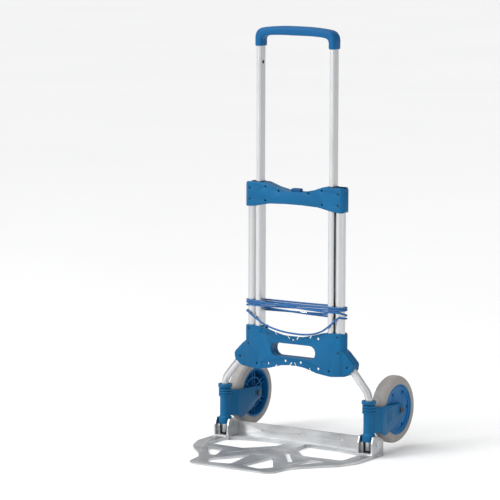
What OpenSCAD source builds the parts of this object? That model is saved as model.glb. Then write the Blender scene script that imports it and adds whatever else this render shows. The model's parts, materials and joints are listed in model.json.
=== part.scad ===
// Folding luggage cart: telescopic pull handle, two moulded brackets on twin posts,
// splayed legs with swivelling wheel forks, and a hinged toe plate.
// Units are millimetres. +Z is up, +X is the cart's left-to-right axis, and the toe
// plate points towards -Y. The origin lies on the underside of the toe plate, midway
// between the legs and directly below the posts.

/* [Handle] */
// Height of the top of the grip above the underside of the toe plate, pulled out
grip_top = 1080; // [1040:5:1120]
// Height of the grip bar
grip_bar_h = 23; // [16:1:24]
// Depth of the grip bar from front to back
grip_depth = 34; // [30:1:36]
// How far the handle slides down to its stored position
handle_travel = 340; // [300:5:345]

/* [Posts] */
// Distance from the middle of the cart to the centre of each inner guide tube
guide_x = 109; // [107:0.5:111]
// Distance from the middle of the cart to the centre of each outer round tube
outer_x = 130.6; // [130.6:0.2:133]
// Diameter of the outer round tubes
outer_d = 26; // [24:0.5:26]
// Width of the guide tubes, side to side
guide_w = 16.6; // [16:0.1:16.6]
// Depth of the guide tubes, front to back
guide_d = 30; // [29:0.5:30]

/* [Brackets] */
// Half the length of both brackets at the posts
bracket_half = 150; // [149:1:154]
// Half the thickness of both brackets
bracket_half_t = 17; // [16.5:0.5:19]
// Wall thickness of the moulded shells
shell_wall = 2.4; // [2:0.1:3]
// Width of the hand slot in the lower bracket
slot_w = 134; // [110:2:140]
// Height of the hand slot in the lower bracket
slot_h = 36; // [30:1:38]

/* [Legs and wheels] */
// Distance from the middle of the cart to each leg
leg_x = 217; // [214:1:220]
// Diameter of the leg tubes
leg_d = 19; // [18:0.5:19]
// Distance from the leg to the wheel axle
fork_reach = 118; // [116:1:122]
// Height of the wheel axles above the underside of the toe plate
axle_z = 104.5; // [102:0.5:106]
// Diameter of the tyres
tyre_d = 173; // [168:1:174]
// Width of the tyres
tyre_w = 36; // [32:1:36]

/* [Toe plate] */
// Half the width of the toe plate
plate_half = 240; // [239:1:246]
// Distance from the posts to the front edge of the toe plate
plate_front = 318; // [310:1:320]
// Thickness of the toe plate at its rear edge
plate_t = 9; // [8:0.5:9]
// Height of the upright flange along the rear edge
flange_top = 44; // [36:1:44]
// Height of the toe plate's hinge pins
hinge_z = 31; // [30.5:0.5:32]

/* [Cord] */
// Diameter of the elastic cord
cord_d = 5; // [4:0.5:5]

/* [Hidden] */
$fn = 64;
LEFT = -1;
RIGHT = 1;
eps = 0.1;
fit = 0.1;                        // gap between fixed neighbours
running = 0.05;                   // radial clearance of pins and shafts
sliding = 0.5;                    // gap between the telescoping tubes

blue = [0.10, 0.39, 0.65];
silver = [0.80, 0.81, 0.82];
steel = [0.66, 0.67, 0.69];
black = [0.07, 0.07, 0.08];
grey = [0.58, 0.57, 0.55];

// Telescoping tubes
guide_wall = 1.5;
guide_r = 5;
handle_w = guide_w - 2 * guide_wall - 2 * sliding;
handle_d = guide_d - 2 * guide_wall - 2 * sliding;
handle_r = 3.5;
handle_wall = 1.3;
outer_wall = 1.6;

// Heights along the posts
lock_z = 646;
handle_low = 590;
handle_high = grip_top - 33;
guide_low = 238;
guide_high = 672;
outer_low = 290;
sleeve_low = grip_top - 53;
sleeve_w = 20;
lock_hole_d = 9;
spring_seat = lock_z - 13.6;

// Upper bracket levels
upper_top = 680;
upper_low = 616;
saddle_z = 661;

// Height of the middle of the hand slot
slot_z = 252.5;

// Lower bracket: thickness at the legs, and the thin lip along its edges
wing_half_t = 15.4;
lip_t = 3.4;
lip_w = 17;

// Screws
screw_r = 1.5;
head_r = 2.8;
head_h = 2.2;
// How deep the screw heads sit; those over the outer tubes stop short of them
head_depth = 4;
head_depth_on_tube = 1.7;
boss_r = 4.6;
upper_screws = [[132, 664, 0], [132, 635, 0], [84, 670, 1], [85, 634.5, 1], [44.5, 661, 1]];
lower_screws = [[133, 300, 0], [135, 260, 0], [161, 225, 0], [108.5, 211, 1]];

// Leg path: a lower bend out of the vertical, a straight run, an upper bend back
leg_bend_r = 44;
leg_bend_z = 143;
leg_angle = 40;
leg_top_r = 60;
leg_low = 17;
leg_wall = 2;
bend_step = 0.12;
leg_inset = leg_bend_r * (1 - cos(leg_angle));
top_inset = leg_top_r * (1 - cos(leg_angle));
leg_run = (leg_x - outer_x - leg_inset - top_inset) / sin(leg_angle);
bend_top = [leg_x - leg_inset, leg_bend_z + leg_bend_r * sin(leg_angle)];
run_top = bend_top + leg_run * [-sin(leg_angle), cos(leg_angle)];
leg_high = run_top[1] + leg_top_r * sin(leg_angle);
pivot_r = 4;

// Wheel fork
fork_gap = 20.5;
fork_half = 25.5;
fork_boss_r = 17;
sleeve_z0 = 40;
sleeve_z1 = 144;
sleeve_r = 13.8;
collar_r = 18.5;
foot_collar_r = 16.8;
bush_r = 11.4;
bush_h = 16;
bush_top = 139;
ring_space_r = 12.6;
rim_r = 64.5;
hub_half = 17.5;
axle_r = 4;
bearing_r = 9;
bearing_w = 7;

// Toe plate
plate_rear = 34;
ear_half = 22;
ear_gap = 17.6;
ear_front = 20;
ear_rear = 36;
ear_top = 55;
liner_half = 11.3;
liner_t = 1.4;
window_end_y = -108;

// Elastic cord: its distance in front of the posts, and from the outer tubes' centres
cord_front = 18;
cord_round = outer_d / 2 + cord_d / 2 + 1;

// ---------------------------------------------------------------- outlines
function unit(v) = v / norm(v);
function turn(a0, a1) = ((a1 - a0 + 540) % 360) - 180;

// Points of one rounded corner at c, between the neighbours p and n
function corner(p, c, n, r, steps) =
    let (a = unit(p - c), b = unit(n - c), half = acos(a * b) / 2,
         centre = c + unit(a + b) * r / sin(half),
         t0 = c + a * r / tan(half) - centre,
         t1 = c + b * r / tan(half) - centre,
         a0 = atan2(t0[1], t0[0]), sweep = turn(a0, atan2(t1[1], t1[0])))
    [for (i = [0:steps]) centre + r * [cos(a0 + sweep * i / steps), sin(a0 + sweep * i / steps)]];

// A closed outline from [x, y, corner radius] points
function rounded(v, steps = 5) =
    [for (i = [0:len(v) - 1])
        let (k = len(v), p = v[(i - 1 + k) % k], c = v[i], n = v[(i + 1) % k])
        each (c[2] > 0
            ? corner([p[0], p[1]], [c[0], c[1]], [n[0], n[1]], c[2], steps)
            : [[c[0], c[1]]])];

// Adds the mirror image of a right-hand half, in reverse order
function both_halves(v) =
    concat(v, [for (i = [len(v) - 1:-1:0]) [-v[i][0], v[i][1], v[i][2]]]);

// Upper bracket seen from the front, set in by e
function upper_outline(e) = rounded(both_halves([
    [20, saddle_z - e, 8], [58, 669 - e, 40], [90, upper_top - e, 30],
    [bracket_half - 10, upper_top - e, 3], [bracket_half - e, upper_top - 9, 4],
    [bracket_half - e, upper_low + 6, 4], [bracket_half - 7, upper_low + e, 3],
    [118, upper_low + 2 + e, 30], [72, 627 + e, 60], [24, 629 + e, 60]]));

// Lower bracket seen from the front, set in by e
function lower_outline(e) = rounded(both_halves([
    [28, 291 - e, 60], [62, 299 - e, 50], [92, 308 - e, 30],
    [bracket_half - 8, 309 - e, 4], [bracket_half - e, 302 - e / 2, 4],
    [bracket_half - e, 264, 20], [179 - e, 234, 12], [176 - e, 216 + e, 10],
    [156, 201 + e, 18], [112, 197 + e, 30], [72, 202 + e, 40], [34, 213 + e, 60],
    [12, 215 + e, 40]]));

// Where the lower bracket swells out round the legs, set in by e
function wing_outline(e) = rounded(both_halves([
    [138, 272 - e, 4], [186 - e, 236, 4], [186 - e, 190, 0], [100, 190, 0]]));

// Toe plate seen from above
function plate_outline() = rounded(both_halves([
    [plate_half, plate_rear, 3], [plate_half, -95, 40], [217, -152, 30],
    [156, -214, 40], [132, -252, 30], [124, 14 - plate_front, 9],
    [106, -plate_front, 14]]));

// ---------------------------------------------------------------- helpers
// Rounded rectangle centred on the origin, made of squares and corner circles
module rounded_rect(w, d, r) {
    square([w - 2 * r, d], center = true);
    square([w, d - 2 * r], center = true);
    for (x = [-1, 1], y = [-1, 1])
        translate([x * (w / 2 - r), y * (d / 2 - r)]) circle(r);
}

// Extrudes an X-Z outline from y0 to y1
module slab_y(y0, y1) {
    translate([0, y1, 0]) rotate([90, 0, 0]) linear_extrude(y1 - y0) children();
}

// Extrudes a Y-Z outline from x0 to x1
module slab_x(x0, x1) {
    translate([x0, 0, 0]) rotate([90, 0, 90]) linear_extrude(x1 - x0) children();
}

// Cylinder along X from x0 to x1
module rod_x(r, x0, x1) {
    translate([x0, 0, 0]) rotate([0, 90, 0]) cylinder(r = r, h = x1 - x0);
}

// Cylinder along Y from y0 to y1
module rod_y(r, y0, y1) {
    translate([0, y1, 0]) rotate([90, 0, 0]) cylinder(r = r, h = y1 - y0);
}

// Box between two opposite corners
module box(a, b) { translate(a) cube(b - a); }

// Draws the right-hand children on either side
module on_side(side) { mirror([side < 0 ? 1 : 0, 0, 0]) children(); }

module both_sides() { children(); mirror([1, 0, 0]) children(); }

// ---------------------------------------------------------------- handle
module grip_shape(e) {
    polygon(rounded(both_halves([
        [60, grip_top - e, 200], [108, grip_top - 6 - e, 26],
        [guide_x + sleeve_w / 2 - e, grip_top - 30, 12],
        [guide_x + sleeve_w / 2 - e, sleeve_low, 0],
        [guide_x - sleeve_w / 2 + e, sleeve_low, 0],
        [guide_x - sleeve_w / 2 - 0.5 + e, grip_top - grip_bar_h - 8, 8],
        [82, grip_top - grip_bar_h - 2 + e, 30], [50, grip_top - grip_bar_h + e, 100]])));
}

module handle_grip() {
    color(blue) difference() {
        intersection() {
            slab_y(-grip_depth / 2, grip_depth / 2) grip_shape(0);
            union() {
                slab_x(-113, 113) translate([0, grip_top - 40])
                    rounded_rect(grip_depth, 80, 6);
                both_sides() translate([guide_x, 0, sleeve_low - 1])
                    linear_extrude(26) rounded_rect(sleeve_w, grip_depth, 6.5);
                both_sides() translate([guide_x - 3, 0, sleeve_low + 10])
                    linear_extrude(50) rounded_rect(sleeve_w + 6, grip_depth, 6);
            }
        }
        both_sides() translate([guide_x, 0, sleeve_low - eps])
            linear_extrude(handle_high - sleeve_low + 2 * fit)
                rounded_rect(handle_w + 2 * fit, handle_d + 2 * fit, handle_r);
        both_sides() translate([guide_x, 0, sleeve_low + 14])
            rod_y(screw_r + fit, 0, grip_depth);
        both_sides() translate([guide_x, 0, sleeve_low + 14])
            rod_y(head_r + fit, grip_depth / 2 - head_h, grip_depth);
    }
}

module handle_tube(side) {
    color(silver) on_side(side) translate([guide_x, 0, 0]) difference() {
        translate([0, 0, handle_low]) linear_extrude(handle_high - handle_low)
            difference() {
                rounded_rect(handle_w, handle_d, handle_r);
                rounded_rect(handle_w - 2 * handle_wall, handle_d - 2 * handle_wall,
                    handle_r - handle_wall);
            }
        for (z = [lock_z, lock_z + handle_travel])
            translate([0, 0, z]) rod_x(lock_hole_d / 2, -handle_w, 0);
        translate([0, 0, sleeve_low + 14]) rod_y(screw_r + fit, 0, handle_d);
    }
}

// Plastic shoe plugged into the lower end of a handle tube
module handle_shoe(side) {
    color(black) on_side(side) translate([guide_x, 0, 0]) difference() {
        union() {
            translate([0, 0, handle_low - 7]) linear_extrude(7 - fit / 2)
                rounded_rect(handle_w + 0.4, handle_d + 0.4, handle_r);
            translate([0, 0, handle_low - 4]) linear_extrude(28)
                rounded_rect(handle_w - 2 * handle_wall - 2 * fit,
                    handle_d - 2 * handle_wall - 2 * fit, 2);
        }
        translate([0, 0, handle_low - 8]) linear_extrude(40) rounded_rect(5, 15, 2);
    }
}

module grip_screws() {
    color(steel) both_sides() translate([guide_x, 0, sleeve_low + 14]) {
        rod_y(screw_r, 8, grip_depth / 2 - head_h + eps);
        difference() {
            rod_y(head_r, grip_depth / 2 - head_h, grip_depth / 2 - 0.2);
            rotate([90, 0, 0]) translate([0, 0, -grip_depth / 2]) cross_recess();
        }
    }
}

// Cross-shaped driver recess, 1.2 mm deep either way
module cross_recess() {
    for (a = [0, 90]) rotate(a) cube([3.4, 0.8, 2.4], center = true);
}

// ---------------------------------------------------------------- posts
module guide_section(grow) {
    rounded_rect(guide_w + 2 * grow, guide_d + 2 * grow, guide_r + grow);
}

module guide_tube(side) {
    color(silver) on_side(side) difference() {
        translate([guide_x, 0, guide_low]) linear_extrude(guide_high - guide_low)
            difference() {
                guide_section(0);
                rounded_rect(handle_w + 2 * sliding, handle_d + 2 * sliding,
                    guide_r - guide_wall);
            }
        translate([guide_x, 0, lock_z]) rod_x(lock_hole_d / 2, -guide_w, 0);
    }
}

module outer_tube(side) {
    color(silver) on_side(side) difference() {
        translate([outer_x, 0, outer_low]) cylinder(d = outer_d, h = guide_high - outer_low);
        translate([outer_x, 0, outer_low - eps])
            cylinder(d = outer_d - 2 * outer_wall, h = guide_high - outer_low + 2 * eps);
        for (s = [upper_screws[0], upper_screws[1], lower_screws[0]])
            translate([s[0], 0, s[1]]) rod_y(screw_r + 0.3, -outer_d, 0);
    }
}

// Sliding bush that closes the top of a guide tube round the handle tube
module tube_bushing(side) {
    color(black) on_side(side) translate([guide_x, 0, guide_high + fit])
        linear_extrude(upper_top + 1.2 - guide_high) difference() {
            guide_section(-fit);
            rounded_rect(handle_w + 0.7, handle_d + 0.7, handle_r + 0.35);
        }
}

// ---------------------------------------------------------------- brackets
module stadium(half, half_t) {
    square([2 * (half - half_t), 2 * half_t], center = true);
    for (x = [-1, 1]) translate([x * (half - half_t), 0]) circle(half_t);
}

// Solid or inner shape of the upper bracket, set in by e
module upper_body(e) {
    intersection() {
        slab_y(-bracket_half_t, bracket_half_t) polygon(upper_outline(e));
        linear_extrude(upper_top + 10) stadium(bracket_half - e, bracket_half_t - e);
    }
}

// Solid or inner shape of the lower bracket, set in by e
module lower_body(e) {
    intersection() {
        slab_y(-bracket_half_t, bracket_half_t) polygon(lower_outline(e));
        union() {
            linear_extrude(320) stadium(bracket_half - e, bracket_half_t - e);
            slab_y(e - wing_half_t, wing_half_t - e) polygon(wing_outline(e));
        }
    }
}

// Bores for both posts of one side, from z0 upwards
module post_bores(z0) {
    translate([guide_x, 0, z0]) linear_extrude(500) guide_section(fit);
    translate([outer_x, 0, z0]) cylinder(d = outer_d + 2 * fit, h = 500);
}

// Level ribs that clamp the posts inside a bracket
module post_ribs(levels) {
    for (z = levels) box([96, -bracket_half_t, z - 1.5], [bracket_half, 0, z + 1.5]);
}

module screw_bosses(screws) {
    for (s = screws) translate([s[0], 0, s[1]])
        rod_y(boss_r, -bracket_half_t + eps, s[2] == 1 ? 0 : -outer_d / 2);
}

module screw_bores(screws) {
    for (s = screws) translate([s[0], 0, s[1]]) {
        rod_y(screw_r + fit, -bracket_half_t, 0);
        rod_y(head_r + fit, -bracket_half_t - 1, head_level(s) + head_h);
    }
}

module latch_space() {
    box([-14.5, -7.4, spring_seat], [14.5, 7.4, saddle_z + 5]);
    box([-30, -2.6, lock_z - 12], [30, 2.6, lock_z + 8]);
    box([-46, -6.4, lock_z - 4.6], [46, 6.4, lock_z + 4.6]);
    box([-guide_x, -4.4, lock_z - 4.6], [guide_x, 4.4, lock_z + 4.6]);
}

module upper_bracket_half(screwed) {
    difference() {
        intersection() {
            box([-160, -bracket_half_t, 600], [160, -fit / 2, 700]);
            difference() {
                union() {
                    difference() {
                        upper_body(0);
                        upper_body(shell_wall);
                    }
                    intersection() {
                        upper_body(shell_wall / 2);
                        union() {
                            both_sides() post_ribs([622, 649, 674]);
                            both_sides() screw_bosses(upper_screws);
                            both_sides() box([88, -12, lock_z - 8], [97, 0, lock_z + 8]);
                            box([-36, -12, lock_z - 14], [36, 0, saddle_z]);
                        }
                    }
                }
                both_sides() post_bores(600);
                latch_space();
            }
        }
        if (screwed) both_sides() screw_bores(upper_screws);
        if (!screwed) both_sides() for (s = [upper_screws[2], upper_screws[3], upper_screws[4]])
            translate([s[0], 0, s[1]]) rod_y(screw_r + fit, -9, 1);
    }
}

module upper_bracket_front() { color(blue) upper_bracket_half(true); }

module upper_bracket_rear() { color(blue) mirror([0, 1, 0]) upper_bracket_half(false); }

// Cord holes and hook slits along the edges of the lower bracket
module cord_holes() {
    for (p = [[0, 280], [75, 291], [-75, 291], [23, 225], [-23, 225], [75.5, 214], [-75.5, 214]])
        translate([p[0], 0, p[1]]) rod_y(3.2, -20, 20);
    both_sides() for (p = [[15, 289, 35], [54, 296, 35], [8, 217, -35], [53, 207, -35]])
        translate([p[0], 0, p[1]]) rotate([0, p[2], 0]) cube([3.2, 40, 15], center = true);
}

// Strip of width w between the posts, e inside the upper or the lower edge
module edge_strip(e, w) {
    for (up = [-1, 1]) intersection() {
        difference() {
            polygon(lower_outline(e));
            translate([0, up * w]) polygon(lower_outline(e));
        }
        translate([-96, up < 0 ? slot_z : 180]) square([192, 140 - (slot_z - 180)]);
    }
}

// Sunk bands that follow the upper and lower edges of the lower bracket
module edge_bands() {
    slab_y(-bracket_half_t - 1, -bracket_half_t + 1.2) edge_strip(3.5, lip_w - 3.5);
}

module lower_bracket_half(screwed) {
    difference() {
        intersection() {
            box([-190, -bracket_half_t, 180], [190, -fit / 2, 320]);
            difference() {
                union() {
                    difference() {
                        lower_body(0);
                        lower_body(shell_wall);
                    }
                    intersection() {
                        lower_body(shell_wall / 2);
                        union() {
                            both_sides() post_ribs([244, 272, 298]);
                            both_sides() screw_bosses(lower_screws);
                            edge_rims();
                            translate([0, 0, slot_z]) slab_y(-20, 0)
                                rounded_rect(slot_w + 6, slot_h + 6, slot_h / 2 + 2.9);
                        }
                    }
                }
                both_sides() post_bores(guide_low);
                both_sides() leg_solid(leg_d / 2 + 0.15);
                cord_holes();
                translate([0, 0, slot_z]) slab_y(-20, 20)
                    rounded_rect(slot_w, slot_h, slot_h / 2 - 0.1);
                if (screwed) edge_bands();
                behind_lips(screwed);
            }
        }
        if (screwed) both_sides() screw_bores(lower_screws);
        if (!screwed) both_sides() translate([lower_screws[3][0], 0, lower_screws[3][1]])
            rod_y(screw_r + fit, -9, 1);
    }
}

// Solid edging along the lips
module edge_rims() { slab_y(-bracket_half_t, 0) edge_strip(1, lip_w + 4); }

// Space behind the lips: only the front shell reaches out to the edges between the posts
module behind_lips(front) {
    slab_y(front ? lip_t - bracket_half_t : -bracket_half_t - 1, 1)
        edge_strip(-2, lip_w + 2);
}

module lower_bracket_front() { color(blue) lower_bracket_half(true); }

module lower_bracket_rear() { color(blue) mirror([0, 1, 0]) lower_bracket_half(false); }

// One bracket screw: long ones join the shells, short ones enter a tube
function head_level(s) =
    -bracket_half_t + (abs(s[0] - outer_x) < 6 ? head_depth_on_tube : head_depth);

module bracket_screw(s) {
    head = head_level(s);
    rod_y(screw_r, head + head_h - eps, s[2] == 1 ? 7 : -9);
    difference() {
        rod_y(head_r, head, head + head_h);
        translate([0, head, 0]) rotate([90, 0, 0]) cross_recess();
    }
}

module bracket_screws(screws) {
    color(steel) both_sides() for (s = screws)
        translate([s[0], 0, s[1]]) bracket_screw(s);
}

// ---------------------------------------------------------------- latch
latch_slot_x = 20;
latch_travel = 5;

module release_button() {
    color(blue) difference() {
        union() {
            slab_y(-7, 7) polygon(rounded([
                [-14, saddle_z - 5, 0], [14, saddle_z - 5, 0],
                [13, saddle_z + 8, 3], [-13, saddle_z + 8, 3]]));
            box([-9, -2, lock_z], [9, 2, saddle_z - 4]);
            box([-28, -2, lock_z - 5.5], [28, 2, lock_z + 7.5]);
        }
        for (s = [LEFT, RIGHT]) translate([s * latch_slot_x, 0, lock_z])
            slab_y(-3, 3) slanted_slot(s);
    }
}

// Slot at 45 degrees that turns the button's press into the slider's pull
module slanted_slot(s) {
    slot_l = latch_travel * sqrt(2);
    rotate(s * 45) {
        translate([0, slot_l / 2]) square([2.7, slot_l], center = true);
        for (y = [0, slot_l]) translate([0, y]) circle(1.35);
    }
}

module lock_slider(side) {
    tip = guide_x - handle_w / 2 - 0.4;
    color(steel) on_side(side) translate([0, 0, lock_z]) {
        difference() {
            union() {
                box([latch_slot_x - 5, -6, -4], [latch_slot_x + 20, 6, 4]);
                box([latch_slot_x + 18, -3.5, -3.5], [88, 3.5, 3.5]);
                rod_x(4, 86, tip);
            }
            box([latch_slot_x - 6, -2.4, -5], [latch_slot_x + 15, 2.4, 5]);
        }
        translate([latch_slot_x, 0, 0]) rod_y(1.05, -5, 5);
    }
}

// Open coil under the release button
module button_spring() {
    turns = 3;
    low = spring_seat + 0.1;
    high = lock_z - 5.7;
    steps = 14 * turns;
    coil = [for (i = [0:steps]) let (a = 360 * turns * i / steps)
        [3.2 * cos(a), 3.2 * sin(a), low + 0.4 + (high - low - 0.8) * i / steps]];
    color(steel) swept_tube(coil, 0.35, 6);
}

// ---------------------------------------------------------------- legs
// A round bar of radius r that curves away from +Z towards -X with the given bend radius
module bend(bend_r, r, angle) {
    translate([-bend_r, 0, 0]) rotate([90, 0, 0])
        rotate_extrude(angle = angle) translate([bend_r, 0]) circle(r);
}

// The leg's curved path as a round bar of radius r, run on past both ends by past.
// The bent part is a hair thinner than the upright ends and reaches a little into them.
module leg_solid(r, past = 0) {
    translate([leg_x, 0, leg_low - past]) cylinder(r = r, h = leg_bend_z - leg_low + past);
    translate([bend_top[0], 0, bend_top[1]]) rotate([0, -leg_angle, 0]) {
        cylinder(r = r - bend_step, h = leg_run);
        mirror([0, 0, 1]) bend(leg_bend_r, r - bend_step, leg_angle + 0.5);
        translate([0, 0, leg_run]) mirror([1, 0, 0])
            bend(leg_top_r, r - bend_step, leg_angle + 0.5);
    }
    translate([outer_x, 0, leg_high]) cylinder(r = r, h = 1 + past);
}

module leg_tube(side) {
    color(silver) on_side(side) difference() {
        leg_solid(leg_d / 2);
        leg_solid(leg_d / 2 - leg_wall, 2);
        translate([leg_x, 0, hinge_z]) rod_x(pivot_r + running, -leg_d, leg_d);
        for (s = [lower_screws[1], lower_screws[2]])
            translate([s[0], 0, s[1]]) rod_y(screw_r + 0.3, -leg_d, 0);
    }
}

// Turned plug that carries the hinge pin inside the end of a leg
module leg_plug(side) {
    color(steel) on_side(side) translate([leg_x, 0, 0]) difference() {
        translate([0, 0, leg_low]) cylinder(r = leg_d / 2 - leg_wall - fit / 2, h = 26);
        translate([0, 0, hinge_z]) rod_x(pivot_r + running, -leg_d, leg_d);
    }
}

// Snap ring on the leg that keeps the fork from sliding up
module leg_ring(side) {
    color(steel) on_side(side) translate([leg_x, 0, bush_top + 0.5])
        difference() {
            cylinder(r = leg_d / 2 + 1.6, h = 1.6);
            translate([0, 0, -eps]) cylinder(r = leg_d / 2 + 0.02, h = 2);
        }
}

// ---------------------------------------------------------------- elastic cord
// A round tube with flat ends, swept along a list of points
function tangent(p, i) = unit(p[min(i + 1, len(p) - 1)] - p[max(i - 1, 0)]);
function across(t) = abs(t[2]) > 0.95 ? [1, 0, 0] : unit(cross(t, [0, 0, 1]));
function ring(p, i, r, sides) =
    let (t = tangent(p, i), u = across(t), w = cross(u, t))
    [for (k = [0:sides - 1]) p[i] + r * (cos(360 * k / sides) * u + sin(360 * k / sides) * w)];

module swept_tube(path, r, sides) {
    rings = len(path);
    points = [for (i = [0:rings - 1]) each ring(path, i, r, sides)];
    walls = [for (i = [0:rings - 2], k = [0:sides - 1])
        let (a = i * sides + k, b = i * sides + (k + 1) % sides)
        each [[a, b, b + sides], [a, b + sides, a + sides]]];
    first = [for (k = [sides - 1:-1:0]) k];
    last = [for (k = [0:sides - 1]) (rings - 1) * sides + k];
    polyhedron(points = points, faces = concat([first], walls, [last]), convexity = 8);
}

// The cord's half turn round the posts of one side, from height z0 in front to z1 behind
function post_wrap(side, z0, z1) = [
    for (i = [0:4]) let (a = -72 + 36 * i)
        [side * (outer_x + cord_round * cos(a)), cord_round * sin(a), z0 + (z1 - z0) * i / 4]];
function backwards(v) = [for (i = [len(v) - 1:-1:0]) v[i]];

// The free loop that hangs in front of the lower bracket, left to right
cord_loop = [
    [-120, -19, 334], [-104, -20.5, 325], [-86, -20.8, 316], [-62, -20.8, 308],
    [-34, -20.8, 302], [0, -20.8, 299], [34, -20.8, 299], [64, -20.8, 303],
    [90, -20.8, 313], [106, -20.5, 324], [120, -19, 336]];

// One cord: three passes and a slack loop in front, its ends meeting at the back
cord_route = concat(
    [[4, 20.8, 348], [-50, 20.8, 347], [-109, 18.4, 346]],
    backwards(post_wrap(LEFT, 342.5, 346)), cord_loop, post_wrap(RIGHT, 350, 345),
    [[109, 18.4, 345], [40, 14.6, 346.5], [-45, 14.6, 349.5], [-109, 18.4, 351.5]],
    backwards(post_wrap(LEFT, 361.5, 352)),
    [[-109, -cord_front, 361.5], [0, -17.6, 365], [109, -cord_front, 368.5]],
    post_wrap(RIGHT, 368.5, 368.3),
    [[109, 18.4, 368.2], [0, 15.6, 367.6], [-109, 18.4, 367]],
    backwards(post_wrap(LEFT, 366.8, 366.9)),
    [[-109, -cord_front, 366.8], [0, -17.6, 370.4], [109, -cord_front, 374]],
    post_wrap(RIGHT, 374, 373.8),
    [[109, 18.4, 373.8], [0, 15.6, 373.2], [-109, 18.4, 372.4]],
    backwards(post_wrap(LEFT, 372.1, 372.2)),
    [[-109, -cord_front, 372], [-58, -22.9, 370], [0, -23.2, 367.4], [50, -22.9, 365],
        [109, -cord_front, 362.5]],
    post_wrap(RIGHT, 362.5, 351.5),
    [[109, 18.4, 351.5], [50, 20.8, 349.5], [16, 20.8, 348.3]]);

module elastic_cord() { color(blue) swept_tube(cord_route, cord_d / 2, 8); }

// Crimped ferrule that joins the two ends of the cord
module cord_ferrule() {
    color(steel) translate([10, 20.8, 348.15]) rotate([0, 89, 0]) difference() {
        cylinder(r = cord_d / 2 + 0.9, h = 20, center = true);
        for (s = [-1, 1]) translate([0, 0, s * 13])
            cylinder(r = cord_d / 2 + 0.2, h = 15, center = true);
    }
}

// ---------------------------------------------------------------- toe plate
function rear_window() = rounded([
    [24, 15, 7], [118, 13, 100], [198, -7, 12], [207, -34, 10], [205, window_end_y, 14],
    [90, window_end_y - 4, 12], [28, -46, 12]]);
function side_window() = rounded([[181, -140, 6], [127, -147, 6], [103, -217, 6], [123, -217, 7]]);
function front_window() = rounded([[30, -158, 6], [17, -280, 8], [74, -291, 9], [98, -262, 9]]);

module arm_slot() {
    a = [26, -86];
    b = [102, -188];
    angle = atan2(b[1] - a[1], b[0] - a[0]);
    translate(a) rotate(angle) translate([norm(b - a) / 2, 0])
        rounded_rect(norm(b - a), 13, 3);
}

module ear_profile() {
    polygon(rounded([
        [-ear_front, 0.2, 1], [-ear_front, 38, 4], [-13, ear_top, 5], [8, ear_top, 8],
        [ear_rear, 40, 4], [ear_rear, 0.2, 1]]));
}

// The ribbed casting without its cut-outs
module plate_slab() {
    difference() {
        linear_extrude(plate_t) difference() {
            polygon(plate_outline());
            both_halves_2d() polygon(rear_window());
            both_halves_2d() polygon(side_window());
            both_halves_2d() polygon(front_window());
            both_halves_2d() arm_slot();
        }
        translate([-300, -20, plate_t]) rotate([0.95, 0, 0]) translate([0, -400, 0])
            cube([600, 400, 20]);
        both_sides() box([24, 18.5, -1], [190, 25, plate_t - 3]);
        both_sides() box([214, -92, -1], [plate_half - 5, -26, plate_t - 3]);
        box([-10, -250, -1], [10, -60, plate_t - 5.5]);
    }
}

module both_halves_2d() { children(); mirror([1, 0]) children(); }

module toe_ear() {
    difference() {
        translate([leg_x, 0, 0]) slab_x(-ear_half, ear_half) ear_profile();
        difference() {
            box([leg_x - ear_gap, -60, 12], [leg_x + ear_gap, 30, 90]);
            translate([leg_x, 0, hinge_z]) rod_x(8.4, -ear_half, ear_half);
            box([leg_x - ear_gap, -7, 11], [leg_x + ear_gap, 7, hinge_z]);
        }
        box([leg_x - liner_half, -60, 12], [leg_x + liner_half, 28, 90]);
        box([leg_x + ear_gap + 0.8, 12, 44], [leg_x + ear_half - 0.8, 19, 60]);
        translate([leg_x, 0, hinge_z]) rod_x(pivot_r + running, -ear_half - 1, ear_half - 1.4);
        translate([leg_x, 0, hinge_z]) rod_x(pivot_r - 0.8, 0, ear_half + 1);
    }
}

module toe_plate() {
    color(silver) difference() {
        union() {
            difference() {
                plate_slab();
                both_sides() translate([leg_x, 0, -1]) slab_z_ear();
            }
            box([-leg_x + ear_half - 1, 28, plate_t - 1], [leg_x - ear_half + 1, 31, flange_top]);
            both_sides() toe_ear();
        }
        for (x = [-120, 0, 120]) translate([x, 0, 27]) rod_y(3, 20, 40);
    }
}

// Room for an ear in the slab, so that the ear's own floor takes its place
module slab_z_ear() {
    translate([-ear_half, -ear_front + 0.5, 0]) cube([2 * ear_half, 54, 30]);
}

// Black plastic bearing that lines the slot of an ear, and the stop in its notch
module ear_liner(side) {
    color(black) on_side(side) {
        translate([leg_x, 0, 0]) difference() {
            union() {
                for (s = [-1, 1]) {
                    x0 = s > 0 ? liner_half - liner_t : -liner_half;
                    slab_x(x0, x0 + liner_t - 0.05) translate([0, hinge_z]) circle(8.3);
                    box([x0, -6.8, 12.1], [x0 + liner_t - 0.05, 6.8, hinge_z]);
                }
                box([-liner_half, -6.8, 12.1], [liner_half - 0.05, 6.8, 13.5]);
            }
            translate([0, 0, hinge_z]) rod_x(pivot_r + 0.1, -ear_half, ear_half);
        }
        box([leg_x + ear_gap + 0.9, 12.1, 44.1], [leg_x + ear_half - 0.9, 18.9, 53.6]);
    }
}

module hinge_pin(side) {
    color(steel) on_side(side) translate([leg_x, 0, hinge_z])
        rod_x(pivot_r, -ear_half + 0.5, ear_half - 1.5);
}

// ---------------------------------------------------------------- wheel forks
// Places the children at the wheel axle of one side
module at_axle(side) {
    on_side(side) translate([leg_x, fork_reach, axle_z]) children();
}

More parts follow.
